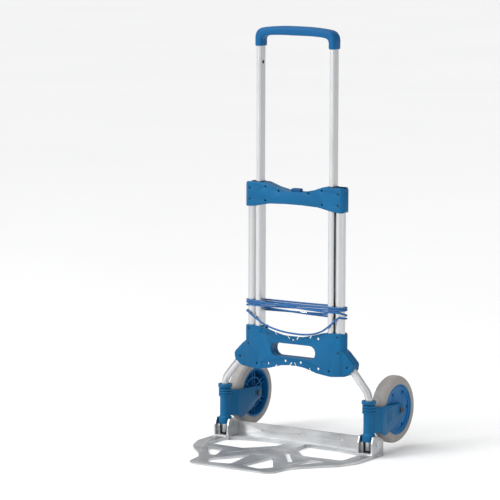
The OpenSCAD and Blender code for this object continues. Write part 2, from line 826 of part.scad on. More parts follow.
module fork_profile() {
    polygon(rounded([
        [0, 62, 0], [20, 62, 4], [40, 50, 12], [82, 64, 40],
        [fork_reach + 3, axle_z - fork_boss_r, 10],
        [fork_reach + fork_boss_r, axle_z - fork_boss_r + 4, 15],
        [fork_reach + fork_boss_r, axle_z + fork_boss_r - 4, 15],
        [fork_reach - 4, axle_z + fork_boss_r, 12], [60, 125, 60], [0, 127, 0]]));
}

module fork_plan() {
    polygon(rounded([
        [-12, 0, 0], [-fork_half, 23, 9], [-fork_half, 150, 0],
        [fork_half, 150, 0], [fork_half, 23, 9], [12, 0, 0]]));
}

// Slanted grip ribs on the outer face of a fork arm
module fork_ribs() {
    for (i = [0:4]) translate([fork_half - 1, 62, 84 + 8 * i]) rotate([14, 0, 0])
        slab_x(0, 1.9) rounded_rect(26, 3, 1.4);
}

module sleeve_body() {
    translate([0, 0, sleeve_z0]) cylinder(r = foot_collar_r, h = 17);
    translate([0, 0, sleeve_z0 + 17]) cylinder(r1 = foot_collar_r, r2 = sleeve_r, h = 3);
    translate([0, 0, sleeve_z0]) cylinder(r = sleeve_r, h = sleeve_z1 - sleeve_z0);
    for (z = [112, 119.5, 127, 136]) translate([0, 0, z])
        cylinder(r = z > 130 ? collar_r : collar_r - 1.6, h = z > 130 ? 8 : 5.5);
}

module wheel_fork(side) {
    color(blue) on_side(side) translate([leg_x, 0, 0]) difference() {
        union() {
            difference() {
                intersection() {
                    slab_x(-fork_half, fork_half) fork_profile();
                    linear_extrude(160) fork_plan();
                }
                translate([0, fork_reach, axle_z])
                    rod_x(tyre_d / 2 + 3, -fork_gap, fork_gap);
                box([-fork_gap, 32, 0], [fork_gap, 160, 160]);
            }
            sleeve_body();
            fork_ribs();
            for (s = [-1, 1]) translate([0, fork_reach, axle_z])
                rod_x(13, s > 0 ? fork_half - 1 : -fork_half - 1.2,
                    s > 0 ? fork_half + 1.2 : -fork_half + 1);
        }
        translate([0, 0, sleeve_z0 - 1]) cylinder(r = leg_d / 2 + 0.5, h = 120);
        for (z = [sleeve_z0 - eps, bush_top - bush_h])
            translate([0, 0, z]) cylinder(r = bush_r, h = bush_h + eps);
        translate([0, 0, bush_top]) cylinder(r = ring_space_r, h = 10);
        translate([0, fork_reach, axle_z]) rod_x(axle_r + fit, -fork_half - 5, fork_half + 5);
        translate([0, fork_reach, axle_z]) rod_x(8, fork_half - 1.5, fork_half + 5);
        translate([0, fork_reach, axle_z]) rod_x(8, -fork_half - 5, -fork_half + 1.5);
    }
}

// Two plain bushes pressed into the ends of the fork's sleeve
module fork_bushes(side) {
    color(black) on_side(side) translate([leg_x, 0, 0])
        for (z = [sleeve_z0, bush_top - bush_h]) translate([0, 0, z]) difference() {
            cylinder(r = bush_r - 0.02, h = bush_h - fit);
            translate([0, 0, -eps]) cylinder(r = leg_d / 2 + running, h = bush_h + 1);
        }
}

// Shoulder bolt through the fork, its head on the outer side
module axle_bolt(side) {
    color(steel) at_axle(side) difference() {
        union() {
            rod_x(axle_r, -fork_half - 3.6, fork_half - 1.4);
            rod_x(7.4, fork_half - 1.4, fork_half + 3);
        }
        translate([fork_half + 1, 0, 0]) rotate([0, 90, 0]) cylinder(r = 2.9, h = 4, $fn = 6);
    }
}

module axle_nut(side) {
    color(steel) at_axle(side) translate([-fork_half + 1.3, 0, 0]) rotate([0, -90, 0])
        difference() {
            union() {
                cylinder(r = 7.2, h = 1);
                cylinder(r = 7, h = 4.6, $fn = 6);
            }
            translate([0, 0, -1]) cylinder(r = axle_r + 0.02, h = 8);
        }
}

// Two thin washers between the fork arms and the wheel's bearings
module axle_washers(side) {
    color(steel) at_axle(side) for (x = [-fork_gap, fork_gap - 1]) difference() {
        rod_x(8, x + 0.05, x + 0.95);
        rod_x(axle_r + 0.1, x - 1, x + 2);
    }
}

// ---------------------------------------------------------------- wheels
// Ring or disc about the axle, from x0 to x1
module wheel_ring(r_in, r_out, x0, x1) {
    difference() {
        rod_x(r_out, x0, x1);
        if (r_in > 0) rod_x(r_in, x0 - 1, x1 + 1);
    }
}

// Rounded triangular hole pointing to the axle
module web_hole() {
    slab_x(8, 20) polygon(rounded([[-5.5, 4, 1.6], [5.5, 4, 1.6], [0, -5.5, 1.6]]));
}

module wheel_hub(side) {
    color(blue) at_axle(side) difference() {
        union() {
            wheel_ring(rim_r - 5, rim_r, -hub_half, hub_half);
            wheel_ring(13, rim_r - 4, 10.5, 14);
            wheel_ring(rim_r - 12, rim_r - 4, 12, 16);
            wheel_ring(bearing_r, 14.5, -hub_half - 1, hub_half + 1);
            wheel_ring(14, 20, 11, 16.5);
            for (a = [0:60:300]) rotate([a, 0, 0]) for (y = [-5.6, 5.6])
                box([-10.5, y - 1.2, 11], [11.5, y + 1.2, rim_r - 4.3]);
            wheel_ring(38, 40.5, -11, 12);
        }
        for (a = [30:60:330]) rotate([a, 0, 0]) translate([0, 0, 47]) web_hole();
        rod_x(bearing_r, -hub_half - 2, hub_half + 2);
    }
}

// Two plain bearings in the hub, running on the axle bolt
module wheel_bearings(side) {
    color(black) at_axle(side) for (x = [-hub_half - 1, hub_half + 1 - bearing_w]) difference() {
        rod_x(bearing_r - 0.02, x, x + bearing_w);
        rod_x(axle_r + running, x - 1, x + bearing_w + 1);
    }
}

module tyre(side) {
    color(grey) at_axle(side) rotate([0, 90, 0]) rotate_extrude($fn = 128)
        polygon(rounded([
            [rim_r + 0.05, -tyre_w / 2, 1.5], [tyre_d / 2 - 8, -tyre_w / 2, 7],
            [tyre_d / 2, -10, 12], [tyre_d / 2, 10, 12], [tyre_d / 2 - 8, tyre_w / 2, 7],
            [rim_r + 0.05, tyre_w / 2, 1.5]]));
}

handle_grip();
handle_tube(LEFT);  // handle_tube_left
handle_tube(RIGHT);  // handle_tube_right
handle_shoe(LEFT);  // handle_shoe_left
handle_shoe(RIGHT);  // handle_shoe_right
grip_screws();
upper_bracket_front();
upper_bracket_rear();
bracket_screws(upper_screws);  // upper_bracket_screws
tube_bushing(LEFT);  // tube_bushing_left
tube_bushing(RIGHT);  // tube_bushing_right
guide_tube(LEFT);  // guide_tube_left
guide_tube(RIGHT);  // guide_tube_right
outer_tube(LEFT);  // outer_tube_left
outer_tube(RIGHT);  // outer_tube_right
release_button();
button_spring();
lock_slider(LEFT);  // lock_slider_left
lock_slider(RIGHT);  // lock_slider_right
lower_bracket_front();
lower_bracket_rear();
bracket_screws(lower_screws);  // lower_bracket_screws
leg_tube(LEFT);  // leg_tube_left
leg_tube(RIGHT);  // leg_tube_right
leg_plug(LEFT);  // leg_plug_left
leg_plug(RIGHT);  // leg_plug_right
leg_ring(LEFT);  // leg_ring_left
leg_ring(RIGHT);  // leg_ring_right
elastic_cord();
cord_ferrule();
toe_plate();
ear_liner(LEFT);  // ear_liner_left
ear_liner(RIGHT);  // ear_liner_right
hinge_pin(LEFT);  // hinge_pin_left
hinge_pin(RIGHT);  // hinge_pin_right
wheel_fork(LEFT);  // wheel_fork_left
wheel_fork(RIGHT);  // wheel_fork_right
fork_bushes(LEFT);  // fork_bushes_left
fork_bushes(RIGHT);  // fork_bushes_right
axle_bolt(LEFT);  // axle_bolt_left
axle_bolt(RIGHT);  // axle_bolt_right
axle_nut(LEFT);  // axle_nut_left
axle_nut(RIGHT);  // axle_nut_right
axle_washers(LEFT);  // axle_washers_left
axle_washers(RIGHT);  // axle_washers_right
wheel_hub(LEFT);  // wheel_hub_left
wheel_hub(RIGHT);  // wheel_hub_right
wheel_bearings(LEFT);  // wheel_bearings_left
wheel_bearings(RIGHT);  // wheel_bearings_right
tyre(LEFT);  // tyre_left
tyre(RIGHT);  // tyre_right
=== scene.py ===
"""Looks for the folding luggage cart: camera, light, materials and detailed pieces."""
import json
import math

import bmesh
import bpy
from mathutils import Matrix, Vector


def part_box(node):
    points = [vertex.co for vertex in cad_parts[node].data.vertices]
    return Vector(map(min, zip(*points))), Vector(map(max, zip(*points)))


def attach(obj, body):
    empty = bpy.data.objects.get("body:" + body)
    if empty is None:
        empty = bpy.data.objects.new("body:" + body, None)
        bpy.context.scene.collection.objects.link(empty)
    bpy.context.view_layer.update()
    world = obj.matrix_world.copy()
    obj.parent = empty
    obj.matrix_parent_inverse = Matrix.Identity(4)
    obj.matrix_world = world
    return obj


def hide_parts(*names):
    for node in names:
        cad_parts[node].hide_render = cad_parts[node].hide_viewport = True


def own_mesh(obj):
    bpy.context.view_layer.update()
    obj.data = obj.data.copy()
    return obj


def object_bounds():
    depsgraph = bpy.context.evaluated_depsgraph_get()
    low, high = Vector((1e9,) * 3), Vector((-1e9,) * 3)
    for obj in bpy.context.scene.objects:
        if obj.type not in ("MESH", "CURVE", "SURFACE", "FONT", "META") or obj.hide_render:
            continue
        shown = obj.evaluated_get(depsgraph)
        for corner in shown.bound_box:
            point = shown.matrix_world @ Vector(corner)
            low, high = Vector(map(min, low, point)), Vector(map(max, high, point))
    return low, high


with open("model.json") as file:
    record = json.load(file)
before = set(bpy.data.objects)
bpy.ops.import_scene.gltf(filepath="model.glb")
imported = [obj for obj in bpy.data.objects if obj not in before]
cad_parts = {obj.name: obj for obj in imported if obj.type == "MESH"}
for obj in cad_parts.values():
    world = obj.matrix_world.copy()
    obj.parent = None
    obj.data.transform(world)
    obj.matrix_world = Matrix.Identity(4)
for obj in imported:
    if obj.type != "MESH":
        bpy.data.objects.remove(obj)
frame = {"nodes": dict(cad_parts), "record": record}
cad_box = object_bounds()
MM = 0.001
scene = bpy.context.scene
ground_z = cad_box[0][2]

# ---------------------------------------------------------------- camera
SENSOR_MM = 36.0
FOCAL_MM = 224.8
EYE = Vector((4.1746, -6.6640, 1.6187))
AZIMUTH, ELEVATION, ROLL = (math.radians(a) for a in (32.93, 8.02, 0.13))
CLIP_END = 60


def make_camera():
    """A long lens at the photograph's viewing angle."""
    back = Vector((math.sin(AZIMUTH) * math.cos(ELEVATION),
                   -math.cos(AZIMUTH) * math.cos(ELEVATION), math.sin(ELEVATION)))
    right = Vector((math.cos(AZIMUTH), math.sin(AZIMUTH), 0))
    up = back.cross(right)
    side = right * math.cos(ROLL) + up * math.sin(ROLL)
    top = up * math.cos(ROLL) - right * math.sin(ROLL)
    data = bpy.data.cameras.new("camera")
    data.sensor_width = SENSOR_MM
    data.lens = FOCAL_MM
    data.clip_end = CLIP_END
    camera = bpy.data.objects.new("camera", data)
    turn = Matrix((side, top, back)).transposed().to_4x4()
    camera.matrix_world = Matrix.Translation(EYE) @ turn
    scene.collection.objects.link(camera)
    scene.camera = camera


make_camera()


# ---------------------------------------------------------------- node helpers
class Nodes:
    """Short calls for building one material's node tree."""

    def __init__(self, name):
        self.material = bpy.data.materials.new(name)
        self.material.use_nodes = True
        self.tree = self.material.node_tree
        self.shader = self.tree.nodes["Principled BSDF"]

    def add(self, kind, **values):
        """A new node; values named in_Socket set its inputs, the others its settings."""
        node = self.tree.nodes.new(kind)
        for key, value in values.items():
            if key.startswith("in_"):
                node.inputs[key[3:]].default_value = value
            else:
                setattr(node, key, value)
        return node

    def link(self, out, into):
        self.tree.links.new(out, into)

    def coords(self, scale=(1, 1, 1), kind="Object"):
        source = self.add("ShaderNodeTexCoord")
        mapping = self.add("ShaderNodeMapping")
        mapping.inputs["Scale"].default_value = scale
        self.link(source.outputs[kind], mapping.inputs["Vector"])
        return mapping.outputs["Vector"]

    def noise(self, scale, stretch=(1, 1, 1), detail=3.0, rough=0.55):
        node = self.add("ShaderNodeTexNoise", in_Scale=scale, in_Detail=detail,
                        in_Roughness=rough)
        self.link(self.coords(stretch), node.inputs["Vector"])
        return node.outputs["Fac"]

    def spread(self, value, low_out, high_out, low_in=0.3, high_in=0.7):
        node = self.add("ShaderNodeMapRange")
        for key, number in (("From Min", low_in), ("From Max", high_in),
                            ("To Min", low_out), ("To Max", high_out)):
            node.inputs[key].default_value = number
        self.link(value, node.inputs["Value"])
        return node.outputs["Result"]

    def tint(self, value, dark, light):
        node = self.add("ShaderNodeMix", data_type="RGBA")
        node.inputs["A"].default_value = (*dark, 1)
        node.inputs["B"].default_value = (*light, 1)
        self.link(value, node.inputs["Factor"])
        return node.outputs["Result"]

    def bump(self, height, strength, distance, below=None):
        node = self.add("ShaderNodeBump", in_Strength=strength, in_Distance=distance)
        self.link(height, node.inputs["Height"])
        if below is not None:
            self.link(below, node.inputs["Normal"])
        return node.outputs["Normal"]

    def math(self, what, a, b=None):
        node = self.add("ShaderNodeMath", operation=what)
        for i, value in enumerate((a, b)):
            if value is None:
                continue
            if isinstance(value, (int, float)):
                node.inputs[i].default_value = value
            else:
                self.link(value, node.inputs[i])
        return node.outputs["Value"]

    def finish(self, color, rough, normal=None, **fixed):
        """Joins the tree to the shader and returns the material."""
        self.link(color, self.shader.inputs["Base Color"])
        self.link(rough, self.shader.inputs["Roughness"])
        if normal is not None:
            self.link(normal, self.shader.inputs["Normal"])
        for key, value in fixed.items():
            self.shader.inputs[key.replace("_", " ")].default_value = value
        return self.material


PLASTIC_GLOSS = 0.2


def plastic(name, dark, light, rough, grain=0.12):
    """Moulded plastic: fine spark grain, slow drift of tone and a slightly uneven gloss."""
    n = Nodes(name)
    drift = n.spread(n.noise(9, detail=2), 0, 1)
    color = n.tint(drift, dark, light)
    speck = n.spread(n.noise(900, detail=2), rough - 0.05, rough + 0.07)
    fine = n.bump(n.noise(1400, detail=2), grain, 0.0003)
    wave = n.bump(n.noise(28, detail=1), 0.10, 0.001, fine)
    return n.finish(color, speck, wave, Specular_IOR_Level=PLASTIC_GLOSS)


def metal(name, dark, light, rough, stretch, streak):
    """Drawn or plated metal: streaks along one axis and faint handling marks."""
    n = Nodes(name)
    streaks = n.noise(260, stretch, 4, 0.6)
    marks = n.noise(14, detail=4)
    color = n.tint(n.spread(marks, 0, 1), dark, light)
    body = n.math("ADD", n.spread(streaks, rough - 0.06, rough + 0.06),
                  n.spread(marks, -0.03, 0.05))
    normal = n.bump(streaks, streak, 0.0002)
    return n.finish(color, body, normal, Metallic=1.0)


LEVEL_FACE = 0.9
# The first of these is painted shade: how far the colour is darkened in the grooves of
# level faces
GROOVE_PAINTED_SHADE, GROOVE_ROUGHENING, GROOVE_DEPTH = 0.75, 0.15, 0.0009


def grooved(name, dark, light, rough, pitch):
    """Sheet with fine level grooves across it and drawn lines, with painted shade darkening
    the grooves on its level faces.
    """
    n = Nodes(name)
    split = n.add("ShaderNodeSeparateXYZ")
    n.link(n.coords(), split.inputs["Vector"])
    wave = n.math("SINE", n.math("MULTIPLY", split.outputs["Y"], math.tau / pitch))
    facing = n.add("ShaderNodeSeparateXYZ")
    n.link(n.coords(kind="Normal"), facing.inputs["Vector"])
    level = n.math("GREATER_THAN", n.math("ABSOLUTE", facing.outputs["Z"]), LEVEL_FACE)
    crest = n.spread(wave, 0, 1, -0.9, -0.1)
    groove = n.math("MULTIPLY", n.math("SUBTRACT", 1.0, crest), level)
    marks = n.noise(22, (0.5, 1, 1), 4)
    lines = n.noise(420, (0.02, 1, 1), 3)
    # Painted shade: the tone is darkened in the grooves of level faces
    tone = n.math("SUBTRACT", n.spread(marks, 0.35, 1),
                  n.math("MULTIPLY", groove, GROOVE_PAINTED_SHADE))
    color = n.tint(tone, dark, light)
    body = n.math("ADD", n.spread(lines, rough - 0.06, rough + 0.08),
                  n.math("MULTIPLY", groove, GROOVE_ROUGHENING))
    fine = n.bump(lines, 0.15, 0.0002)
    normal = n.bump(n.math("SUBTRACT", 1.0, groove), 0.55, GROOVE_DEPTH, fine)
    return n.finish(color, body, normal, Metallic=1.0)


def rubber(name, dark, light):
    """Cast rubber: matt, finely grained and faintly mottled."""
    n = Nodes(name)
    color = n.tint(n.spread(n.noise(60, detail=5), 0, 1), dark, light)
    normal = n.bump(n.noise(1100, detail=3), 0.25, 0.0004)
    return n.finish(color, n.spread(n.noise(35, detail=4), 0.5, 0.72), normal,
                    Specular_IOR_Level=0.35)


BRAID_STRANDS, BRAID_PITCH = 10, 0.0042


def braid(name, dark, light):
    """Woven sheath of a cord: two sets of strands that cross, laid out along UV."""
    n = Nodes(name)
    uv = n.add("ShaderNodeUVMap")
    split = n.add("ShaderNodeSeparateXYZ")
    n.link(uv.outputs["UV"], split.inputs["Vector"])
    around = n.math("MULTIPLY", split.outputs["X"], math.tau * BRAID_STRANDS / 2)
    along = n.math("MULTIPLY", split.outputs["Y"], math.tau / BRAID_PITCH)
    one = n.math("SINE", n.math("ADD", along, around))
    two = n.math("SINE", n.math("SUBTRACT", along, around))
    weave = n.math("MAXIMUM", one, two)
    lift = n.spread(weave, 0, 1, -0.6, 1)
    # Painted shade: the colour darkens in the hollows between the strands, where the weave
    # is low
    color = n.tint(lift, dark, light)
    normal = n.bump(lift, 0.6, 0.0006)
    return n.finish(color, n.spread(n.noise(700), 0.5, 0.65), normal, Sheen_Weight=0.2,
                    Specular_IOR_Level=0.4)


GROOVE_PITCH = 0.005
EVEN = (1, 1, 1)
MATERIALS = {
    "blue": plastic("blue_moulding", (0.0008, 0.094, 0.226), (0.0012, 0.116, 0.276), 0.4),
    "grip": plastic("grip_moulding", (0.0008, 0.085, 0.235), (0.001, 0.105, 0.28), 0.45,
                    0.25),
    "button": plastic("button_moulding", (0.0008, 0.07, 0.2), (0.001, 0.085, 0.24), 0.35),
    "black": plastic("black_moulding", (0.012, 0.012, 0.014), (0.02, 0.02, 0.022), 0.5),
    "hub": plastic("hub_moulding", (0.0015, 0.115, 0.31), (0.002, 0.14, 0.37), 0.42, 0.2),
    "tube": metal("satin_tube", (0.60, 0.61, 0.62), (0.64, 0.65, 0.66), 0.34, (1, 1, 0.006),
                  0.02),
    "leg": metal("satin_leg", (0.64, 0.65, 0.66), (0.70, 0.71, 0.72), 0.38, (0.4, 1, 0.2),
                 0.02),
    "plate": grooved("grooved_plate", (0.30, 0.305, 0.31), (0.66, 0.67, 0.68), 0.4,
                     GROOVE_PITCH),
    "steel": metal("plated_steel", (0.55, 0.56, 0.58), (0.68, 0.69, 0.7), 0.24, EVEN, 0.1),
    "tyre": rubber("tyre_rubber", (0.30, 0.285, 0.27), (0.36, 0.345, 0.33)),
    "cord": braid("cord_sheath", (0.0008, 0.06, 0.20), (0.001, 0.13, 0.38)),
    "dark_steel": metal("blackened_steel", (0.05, 0.052, 0.055), (0.09, 0.092, 0.096), 0.38,
                        EVEN, 0.1),
}

LOOKS = {
    "handle_grip": "grip", "handle_tube": "tube", "handle_shoe": "black",
    "grip_screws": "steel", "upper_bracket_screws": "dark_steel", "upper_bracket": "blue",
    "tube_bushing": "black", "guide_tube": "tube", "outer_tube": "tube",
    "release_button": "button", "button_spring": "steel", "lock_slider": "steel",
    "lower_bracket_screws": "dark_steel", "lower_bracket": "blue", "leg_tube": "leg",
    "leg_plug": "steel", "leg_ring": "steel", "elastic_cord": "cord",
    "cord_ferrule": "steel", "toe_plate": "plate", "ear_liner": "black",
    "hinge_pin": "steel", "wheel_fork": "blue", "fork_bushes": "black",
    "axle": "dark_steel", "wheel_hub": "hub", "wheel_bearings": "black", "tyre": "tyre",
}


def look_of(node):
    """The node's material, by the first prefix that its name starts with."""
    for prefix, look in LOOKS.items():
        if node.startswith(prefix):
            return MATERIALS[look]
    raise SystemExit("no look for " + node)


def body_of(node):
    for body, nodes in frame["record"]["behaviour"]["bodies"].items():
        if node in nodes:
            return body
    raise SystemExit("no body for " + node)


# ---------------------------------------------------------------- detailed pieces
def mesh_from(bm, name):
    mesh = bpy.data.meshes.new(name)
    bm.to_mesh(mesh)
    bm.free()
    return mesh


def stand_in(name, mesh, node):
    """A new piece that takes the node's place, body, slot and look."""
    piece = bpy.data.objects.new(name, mesh)
    scene.collection.objects.link(piece)
    mesh.materials.clear()
    mesh.materials.append(look_of(node))
    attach(piece, body_of(node))
    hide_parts(node)
    return piece


WELD_DISTANCE = 2e-6
FLAT_ANGLE, EDGE_ANGLE = math.radians(1.5), math.radians(28)


def eased(node, width):
    """The node's own shape as a new piece, with its sharp edges rounded off."""
    bm = bmesh.new()
    bm.from_mesh(frame["nodes"][node].data)
    bmesh.ops.remove_doubles(bm, verts=bm.verts, dist=WELD_DISTANCE)
    bmesh.ops.dissolve_limit(bm, angle_limit=FLAT_ANGLE, verts=bm.verts, edges=bm.edges)
    name = node + "_moulded"
    mesh = mesh_from(bm, name)
    for polygon in mesh.polygons:
        polygon.use_smooth = True
    piece = stand_in(name, mesh, node)
    bevel = piece.modifiers.new("ease", "BEVEL")
    bevel.width = width
    bevel.segments = 2
    bevel.limit_method = "ANGLE"
    bevel.angle_limit = EDGE_ANGLE
    bevel.miter_outer = "MITER_ARC"
    bevel.harden_normals = True


# ---------------------------------------------------------------- elastic cord
POST_X, POST_ROUND, CORD_FRONT = 130.6, 16.3, 18
WRAP_FROM, WRAP_STEP, WRAP_POINTS = -72, 36, 5
# A hair thinner than the 5 mm cord of the CAD, so that its strands stay apart
CORD_R_MM = 2.45


def post_wrap(side, z0, z1):
    """The cord's half turn round the posts of one side, from front to back, in mm."""
    turn = [math.radians(WRAP_FROM + WRAP_STEP * i) for i in range(WRAP_POINTS)]
    return [(side * (POST_X + POST_ROUND * math.cos(a)), POST_ROUND * math.sin(a),
             z0 + (z1 - z0) * i / (WRAP_POINTS - 1)) for i, a in enumerate(turn)]


def cord_route():
    """The route's points as part.scad has them, in mm."""
    loop = [(-120, -19, 334), (-104, -20.5, 325), (-86, -20.8, 316), (-62, -20.8, 308),
            (-34, -20.8, 302), (0, -20.8, 299), (34, -20.8, 299), (64, -20.8, 303),
            (90, -20.8, 313), (106, -20.5, 324), (120, -19, 336)]
    return ([(4, 20.8, 348), (-50, 20.8, 347), (-109, 18.4, 346)]
            + post_wrap(-1, 342.5, 346)[::-1] + loop + post_wrap(1, 350, 345)
            + [(109, 18.4, 345), (40, 14.6, 346.5), (-45, 14.6, 349.5), (-109, 18.4, 351.5)]
            + post_wrap(-1, 361.5, 352)[::-1]
            + [(-109, -CORD_FRONT, 361.5), (0, -17.6, 365), (109, -CORD_FRONT, 368.5)]
            + post_wrap(1, 368.5, 368.3)
            + [(109, 18.4, 368.2), (0, 15.6, 367.6), (-109, 18.4, 367)]
            + post_wrap(-1, 366.8, 366.9)[::-1]
            + [(-109, -CORD_FRONT, 366.8), (0, -17.6, 370.4), (109, -CORD_FRONT, 374)]
            + post_wrap(1, 374, 373.8)
            + [(109, 18.4, 373.8), (0, 15.6, 373.2), (-109, 18.4, 372.4)]
            + post_wrap(-1, 372.1, 372.2)[::-1]
            + [(-109, -CORD_FRONT, 372), (-58, -22.9, 370), (0, -23.2, 367.4),
               (50, -22.9, 365), (109, -CORD_FRONT, 362.5)]
            + post_wrap(1, 362.5, 351.5)
            + [(109, 18.4, 351.5), (50, 20.8, 349.5), (16, 20.8, 348.3)])


STEPS_PER_POINT = 5


def smooth_path(points):
    """A centripetal curve through the points."""
    ends = [points[0] * 2 - points[1]] + points + [points[-1] * 2 - points[-2]]
    out = []
    for a, b, c, d in zip(ends, ends[1:], ends[2:], ends[3:]):
        t0 = 0
        t1 = t0 + max((b - a).length, 1e-6) ** 0.5
        t2 = t1 + max((c - b).length, 1e-6) ** 0.5
        t3 = t2 + max((d - c).length, 1e-6) ** 0.5
        for i in range(STEPS_PER_POINT):
            t = t1 + (t2 - t1) * i / STEPS_PER_POINT
            p = a.lerp(b, (t - t0) / (t1 - t0))
            q = b.lerp(c, (t - t1) / (t2 - t1))
            r = c.lerp(d, (t - t2) / (t3 - t2))
            u = p.lerp(q, (t - t0) / (t2 - t0))
            v = q.lerp(r, (t - t1) / (t3 - t1))
            out.append(u.lerp(v, (t - t1) / (t2 - t1)))
    return out + [points[-1]]


def tube_mesh(name, path, radius, sides=14):
    """A closed round tube along a path; UV is turns around, metres along."""
    bm = bmesh.new()
    uv = bm.loops.layers.uv.new("UVMap")
    rings, along, total = [], [], 0.0
    normal = None
    for i, point in enumerate(path):
        tangent = (path[min(i + 1, len(path) - 1)] - path[max(i - 1, 0)]).normalized()
        if normal is None:
            normal = tangent.cross(Vector((0.1, 0.2, 1))).normalized()
        normal = (normal - tangent * normal.dot(tangent)).normalized()
        other = tangent.cross(normal)
        if i:
            total += (point - path[i - 1]).length
        along.append(total)
        angles = [math.tau * k / sides for k in range(sides)]
        rings.append([bm.verts.new(point + radius * (normal * math.cos(a)
                                                     + other * math.sin(a)))
                      for a in angles])
    for i, (one, two) in enumerate(zip(rings, rings[1:])):
        for k in range(sides):
            n = (k + 1) % sides
            face = bm.faces.new((one[k], one[n], two[n], two[k]))
            face.smooth = True
            corners = ((k, i), (k + 1, i), (k + 1, i + 1), (k, i + 1))
            for loop, (u, v) in zip(face.loops, corners):
                loop[uv].uv = (u / sides, along[v])
    bm.faces.new(rings[0][::-1])
    bm.faces.new(rings[-1])
    bmesh.ops.recalc_face_normals(bm, faces=bm.faces)
    return mesh_from(bm, name), total


def make_cord():
    """The cord, held all the way by the posts, so it is a fixed piece."""
    points = [Vector(p) * MM for p in cord_route()]
    mesh, length = tube_mesh("elastic_cord_sheath", smooth_path(points), CORD_R_MM * MM)
    stand_in("elastic_cord_sheath", mesh, "elastic_cord")
    print(f"elastic cord: {length:.3f} m")


# ---------------------------------------------------------------- grip
GRIP_HALF_DEPTH, GRIP_SIDES = 16.9, 40
GRIP_SQUARENESS = 4.2
END_SHRINK = 0.03


def grip_top():
    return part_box("handle_grip")[1][2] / MM


def grip_path():
    """The grip's centreline from one sleeve over the bar to the other, in mm, with
    its thickness in the plane of the handle."""
    half = [(109, -53, 20), (109, -46, 20), (109, -38, 20), (108.4, -31, 21.5),
            (106, -24.5, 23.5), (101, -19.4, 24), (93, -16.4, 22.6), (80, -14.4, 21.8),
            (60, -12.8, 22), (35, -11.9, 22.8)]
    half = [(x, z + grip_top(), t) for x, z, t in half]
    return [(-x, z, t) for x, z, t in half] + [(0, grip_top() - 11.7, 23.2)] + half[::-1]


def rounded_off(value):
    """A sine or cosine, pushed outwards so that the section's sides are flatter."""
    return math.copysign(abs(value) ** (2 / GRIP_SQUARENESS), value)


def make_grip():
    """The soft grip: a soft-cornered section swept from sleeve to sleeve."""
    points = smooth_path([Vector(p) for p in grip_path()])
    bm = bmesh.new()
    rings = []
    for i, p in enumerate(points):
        a, b = points[max(i - 1, 0)], points[min(i + 1, len(points) - 1)]
        along = Vector((b.x - a.x, b.y - a.y)).normalized()
        out = Vector((-along.y, along.x))
        from_end = min(i, len(points) - 1 - i)
        shrink = 1 - END_SHRINK * max(0, 2 - from_end)
        ring = []
        for k in range(GRIP_SIDES):
            angle = math.tau * k / GRIP_SIDES
            across = rounded_off(math.cos(angle)) * p.z / 2 * shrink
            deep = rounded_off(math.sin(angle)) * GRIP_HALF_DEPTH * shrink
            ring.append(bm.verts.new(
                Vector((p.x + out.x * across, deep, p.y + out.y * across)) * MM))
        rings.append(ring)
    for one, two in zip(rings, rings[1:]):
        for k in range(GRIP_SIDES):
            n = (k + 1) % GRIP_SIDES
            bm.faces.new((one[k], one[n], two[n], two[k])).smooth = True
    bm.faces.new(rings[0][::-1])
    bm.faces.new(rings[-1])
    bmesh.ops.recalc_face_normals(bm, faces=bm.faces)
    stand_in("soft_grip", mesh_from(bm, "soft_grip"), "handle_grip")


# ---------------------------------------------------------------- legs
# A hair thicker than the 19 mm tube of the CAD, which it hides
LEG_R = 9.51
LEG_X, LEG_FOOT = 217, 17
BEND_R, BEND_Z, BEND_ANGLE, TOP_R = 44, 143, math.radians(40), 60
BEND_STEPS, RUN_STEPS, LEG_SIDES = 8, 6, 40


def leg_path():
    """The right leg's centreline from its foot to its top, in mm: bend, run, bend back."""
    inset, top_inset = (r * (1 - math.cos(BEND_ANGLE)) for r in (BEND_R, TOP_R))
    run = (LEG_X - POST_X - inset - top_inset) / math.sin(BEND_ANGLE)
    points = [(LEG_X, LEG_FOOT), (LEG_X, 60), (LEG_X, 100), (LEG_X, BEND_Z - 4)]
    for i in range(BEND_STEPS + 1):
        a = BEND_ANGLE * i / BEND_STEPS
        points.append((LEG_X - BEND_R * (1 - math.cos(a)), BEND_Z + BEND_R * math.sin(a)))
    x, z = points[-1]
    for i in range(1, RUN_STEPS + 1):
        points.append((x - run * i / RUN_STEPS * math.sin(BEND_ANGLE),
                       z + run * i / RUN_STEPS * math.cos(BEND_ANGLE)))
    x, z = points[-1]
    for i in range(1, BEND_STEPS + 1):
        a = BEND_ANGLE * (1 - i / BEND_STEPS)
        points.append((x - TOP_R * (math.cos(a) - math.cos(BEND_ANGLE)),
                       z + TOP_R * (math.sin(BEND_ANGLE) - math.sin(a))))
    return [Vector((px, 0, pz)) * MM for px, pz in points]


def make_leg(node, side):
    """A smooth tube along the leg's path, between the node's own ends."""
    path = leg_path()
    path[0].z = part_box(node)[0][2]
    path[-1].z = min(path[-1].z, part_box(node)[1][2])
    path = [Vector((side * p.x, p.y, p.z)) for p in path]
    name = node + "_drawn"
    mesh, _ = tube_mesh(name, path, LEG_R * MM, LEG_SIDES)
    stand_in(name, mesh, node)


# ---------------------------------------------------------------- button spring
COIL_TURNS, COIL_STEPS, WIRE_SIDES = 3, 24, 8
WIRE_R = 0.00035


def make_spring():
    """A wire coil under the button."""
    low_end, high_end = (Vector(c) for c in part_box("button_spring"))
    radius = (high_end.x - low_end.x) / 2 - WIRE_R
    middle = (low_end + high_end) / 2
    length = high_end.z - low_end.z
    count = COIL_TURNS * COIL_STEPS
    path = [Vector((middle.x + radius * math.cos(math.tau * i / COIL_STEPS),
                    middle.y + radius * math.sin(math.tau * i / COIL_STEPS),
                    low_end.z + WIRE_R + (length - 2 * WIRE_R) * i / count))
            for i in range(count + 1)]
    mesh, _ = tube_mesh("button_coil", path, WIRE_R, WIRE_SIDES)
    piece = stand_in("button_coil", mesh, "button_spring")
    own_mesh(piece)


